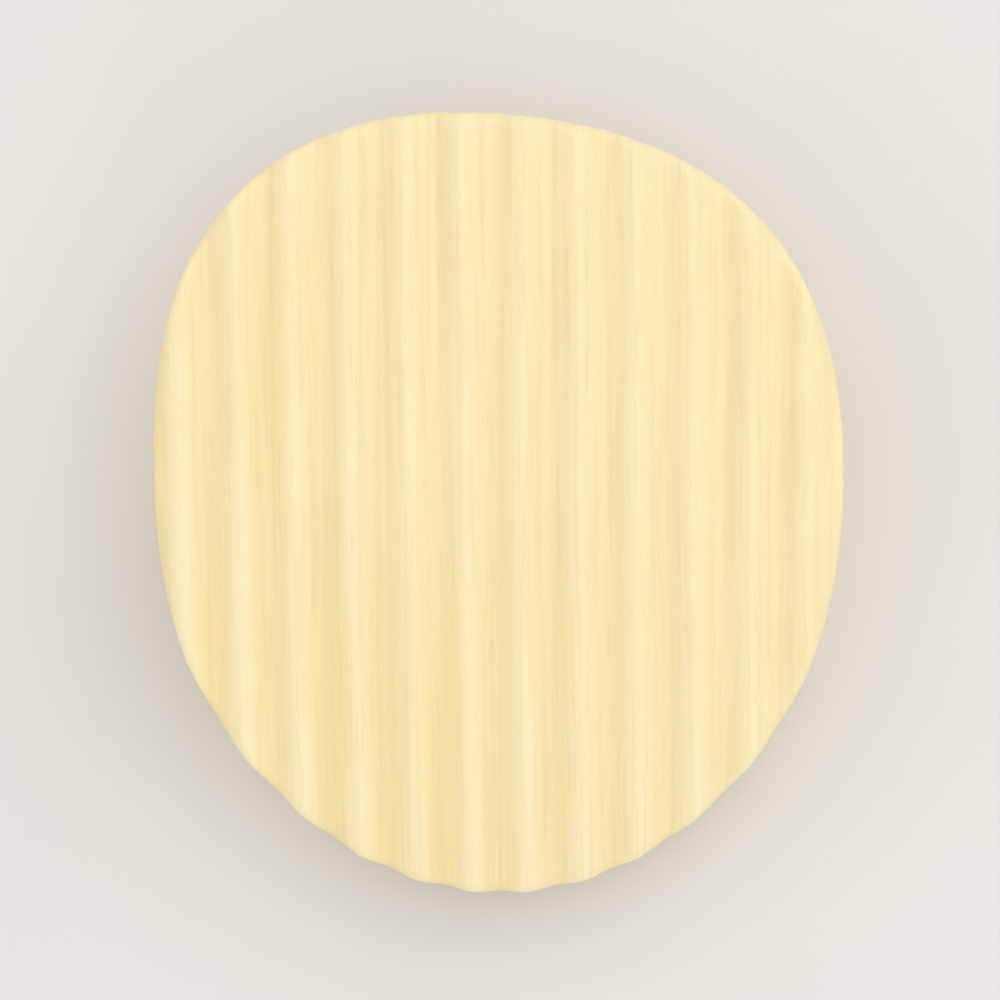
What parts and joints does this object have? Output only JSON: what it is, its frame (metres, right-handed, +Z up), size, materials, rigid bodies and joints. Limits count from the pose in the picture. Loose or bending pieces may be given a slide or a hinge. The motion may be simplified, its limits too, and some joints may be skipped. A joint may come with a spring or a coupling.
{
  "type": "bag clip",
  "caption": "Spring bag clip shaped like a crinkle-cut potato chip: a ridged front and rear jaw on a hinge pin, with a torsion spring and soft grip strips.",
  "frame": {"origin": "on the table that the clip lies on, under the middle of its outer box", "axes": "+X along the hinge pin, +Y towards the handle end, +Z up out of the front jaw, with the clip lying on its rear jaw"},
  "size_m": [0.0512, 0.0598, 0.0253],
  "materials": {
    "chip_plastic": "pale yellow moulded plastic with a satin sheen",
    "grip_rubber": "matt off-white soft rubber",
    "spring_steel": "drawn spring wire",
    "plated_steel": "bright nickel plating"
  },
  "bodies": {
    "rear_jaw": {"rear_chip_jaw": "chip_plastic", "rear_grip_strip": "grip_rubber", "hinge_pin": "plated_steel", "torsion_spring": "spring_steel"},
    "front_jaw": {"front_chip_jaw": "chip_plastic", "front_grip_strip": "grip_rubber"}
  },
  "joints": [
    {"name": "jaw_hinge", "type": "hinge", "parent": "rear_jaw", "child": "front_jaw", "pos_m": [-0.00022, -0.00243, 0.00926], "axis": [-1, 0, 0], "range_deg": [0, 30], "stiffness_Nm_per_rad": 0.12, "springref_deg": -51.57, "deforming": ["torsion_spring"]}
  ]
}
